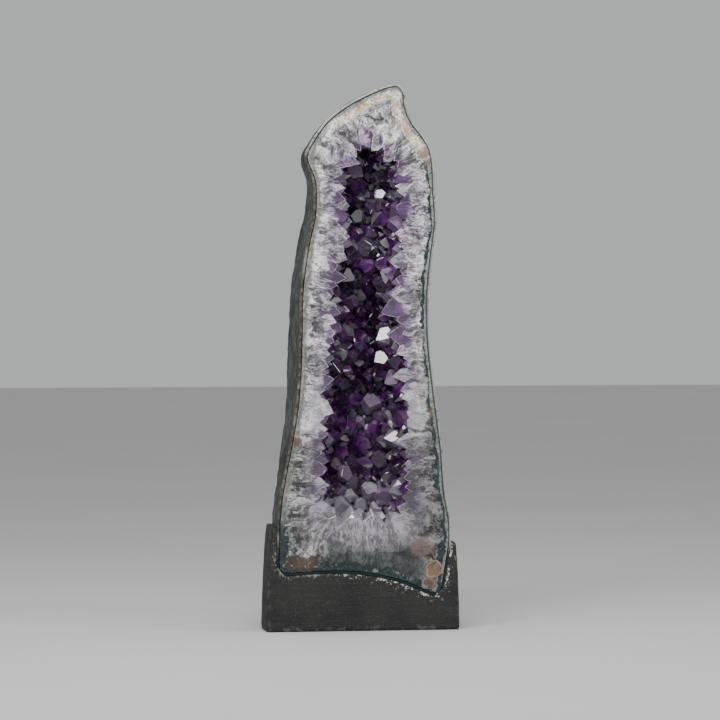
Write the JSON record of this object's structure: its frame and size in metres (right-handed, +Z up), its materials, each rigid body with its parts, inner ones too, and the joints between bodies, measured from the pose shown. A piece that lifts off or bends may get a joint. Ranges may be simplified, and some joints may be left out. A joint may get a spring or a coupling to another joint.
{
  "type": "amethyst geode",
  "caption": "Tall half of an amethyst geode with a sawn, polished face around a druse of purple crystals, set upright in a cast cement foot.",
  "frame": {"origin": "middle of the box around the object, on the plane it stands on", "axes": "+Z up along the geode's height, -Y out of the sawn and polished face towards the viewer, +X to the right of a viewer who looks at that face"},
  "size_m": [0.1994, 0.134, 0.548],
  "materials": {
    "cement": "matte",
    "basalt": "matte",
    "quartz": "gloss",
    "amethyst": "polished",
    "milky_quartz": "polished"
  },
  "bodies": {
    "root": {"cement_foot": "cement", "basalt_rind": "basalt", "quartz_wall": "quartz", "amethyst_cluster_01": "amethyst", "amethyst_cluster_02": "amethyst", "amethyst_cluster_03": "amethyst", "amethyst_cluster_04": "amethyst", "amethyst_cluster_05": "amethyst", "amethyst_cluster_06": "amethyst", "amethyst_cluster_07": "amethyst", "amethyst_cluster_08": "amethyst", "amethyst_cluster_09": "amethyst", "amethyst_cluster_10": "amethyst", "amethyst_cluster_11": "amethyst", "amethyst_cluster_12": "amethyst", "amethyst_cluster_13": "amethyst", "amethyst_cluster_14": "amethyst", "amethyst_cluster_15": "amethyst", "amethyst_cluster_16": "amethyst", "amethyst_cluster_17": "amethyst", "amethyst_cluster_18": "amethyst", "amethyst_cluster_19": "amethyst", "amethyst_cluster_20": "amethyst", "amethyst_cluster_21": "amethyst", "amethyst_cluster_22": "amethyst", "amethyst_cluster_23": "amethyst", "amethyst_cluster_24": "amethyst", "amethyst_cluster_25": "amethyst", "amethyst_cluster_26": "amethyst", "amethyst_cluster_27": "amethyst", "amethyst_cluster_28": "amethyst", "amethyst_cluster_29": "amethyst", "amethyst_cluster_30": "amethyst", "amethyst_cluster_31": "amethyst", "amethyst_cluster_32": "amethyst", "amethyst_cluster_33": "amethyst", "amethyst_cluster_34": "amethyst", "amethyst_cluster_35": "amethyst", "amethyst_cluster_36": "amethyst", "amethyst_cluster_37": "amethyst", "amethyst_cluster_38": "amethyst", "amethyst_cluster_39": "amethyst", "amethyst_cluster_40": "amethyst", "amethyst_cluster_41": "amethyst", "amethyst_cluster_42": "amethyst", "amethyst_cluster_43": "amethyst", "amethyst_cluster_44": "amethyst", "amethyst_cluster_45": "amethyst", "amethyst_cluster_46": "amethyst", "milky_cluster_01": "milky_quartz", "milky_cluster_02": "milky_quartz", "milky_cluster_03": "milky_quartz", "milky_cluster_04": "milky_quartz", "milky_cluster_05": "milky_quartz", "milky_cluster_06": "milky_quartz"}
  },
  "joints": []
}
